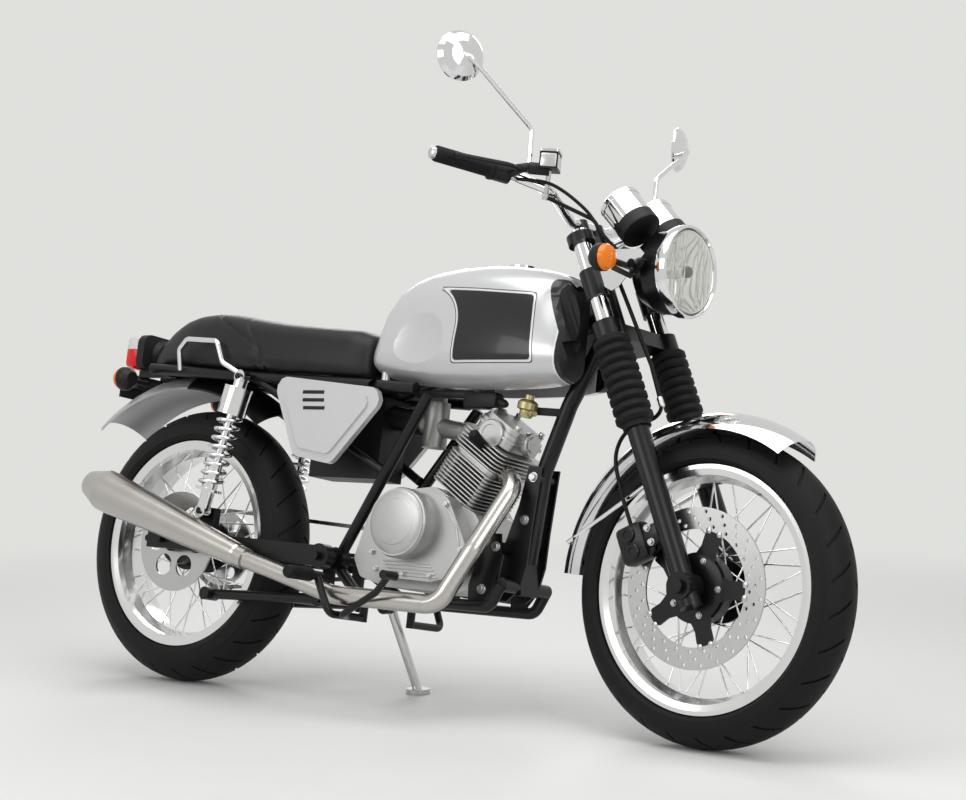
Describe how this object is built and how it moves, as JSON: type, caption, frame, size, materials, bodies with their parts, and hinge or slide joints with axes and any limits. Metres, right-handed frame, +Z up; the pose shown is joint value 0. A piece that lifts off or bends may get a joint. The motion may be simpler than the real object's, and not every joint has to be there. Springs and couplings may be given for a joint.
{
  "type": "motorcycle",
  "caption": "Retro cafe racer motorcycle with air-cooled engine, wire wheels, round headlamp and flat seat, leaning on its side stand.",
  "frame": {"origin": "bottom centre of the bounding box, on the ground the tyres and the side stand rest on", "axes": "+X forward along the wheelbase, +Y to the rider's left, +Z up; the machine leans to +Y on its side stand"},
  "size_m": [1.9511, 0.8757, 1.3506],
  "materials": {
    "frame_black": "gloss",
    "tank_silver": "gloss",
    "seat_vinyl": "satin",
    "panel_silver": "gloss",
    "black_plastic": "satin",
    "chrome": "polished",
    "cast_alloy": "satin",
    "steel": "satin",
    "tyre_rubber": "matte",
    "rubber": "matte",
    "amber": "gloss",
    "red_lens": "gloss",
    "lamp_glass": "polished",
    "polished_rim": "polished"
  },
  "bodies": {
    "chassis": {"frame_spine": "frame_black", "frame_cradle": "frame_black", "subframe": "frame_black", "fuel_tank": "tank_silver", "fuel_cap": "chrome", "seat": "seat_vinyl", "side_panels": "panel_silver", "air_box": "black_plastic", "rear_mudguard": "panel_silver", "tail_bracket": "black_plastic", "tail_lamp": "black_plastic", "tail_lens": "red_lens", "rear_indicators": "amber", "grab_rail": "chrome", "engine_cases": "cast_alloy", "engine_covers": "cast_alloy", "cylinder_barrel": "cast_alloy", "cylinder_head": "cast_alloy", "carburettor": "cast_alloy", "exhaust_pipe": "steel", "muffler": "steel", "swingarm": "frame_black", "shocks": "frame_black", "shock_springs": "chrome", "chain": "steel", "foot_controls": "frame_black", "foot_rubbers": "rubber"},
    "steering": {"yokes": "frame_black", "fork_tubes": "chrome", "fork_gaiters": "rubber", "fork_sliders": "frame_black", "front_mudguard": "chrome", "handlebar": "chrome", "grips": "rubber", "bar_controls": "black_plastic", "mirrors": "chrome", "headlamp": "frame_black", "headlamp_lens": "lamp_glass", "gauges": "chrome", "front_indicators": "amber", "front_caliper": "frame_black", "brake_hose": "rubber"},
    "front_wheel": {"front_tyre": "tyre_rubber", "front_rim": "polished_rim", "front_spokes": "steel", "front_hub": "cast_alloy", "front_disc": "steel"},
    "rear_wheel": {"rear_tyre": "tyre_rubber", "rear_rim": "polished_rim", "rear_spokes": "steel", "rear_hub": "cast_alloy", "rear_disc": "steel", "rear_sprocket": "steel"},
    "side_stand": {"side_stand": "frame_black"},
    "centre_stand": {"centre_stand": "frame_black"}
  },
  "joints": [
    {"name": "steering", "type": "hinge", "parent": "chassis", "child": "steering", "pos_m": [0.38904, -0.05067, 0.80566], "axis": [-0.4226, 0.1652, 0.8911], "range_deg": [-31.5, 40.5]},
    {"name": "front_wheel_spin", "type": "hinge", "parent": "steering", "child": "front_wheel", "pos_m": [0.68327, -0.14979, 0.29027], "axis": [0.0711, 0.9863, -0.1491], "continuous": true},
    {"name": "rear_wheel_spin", "type": "hinge", "parent": "chassis", "child": "rear_wheel", "pos_m": [-0.6516, -0.14375, 0.30345], "axis": [0, 0.9833, -0.1822], "continuous": true},
    {"name": "side_stand_fold", "type": "hinge", "parent": "chassis", "child": "side_stand", "pos_m": [-0.1721, -0.05094, 0.18963], "axis": [0, 0.9969, -0.0785], "range_deg": [0, 95]},
    {"name": "centre_stand_drop", "type": "hinge", "parent": "chassis", "child": "centre_stand", "pos_m": [-0.2161, -0.16179, 0.20611], "axis": [0, -0.9833, 0.1822], "range_deg": [0, 86]}
  ]
}
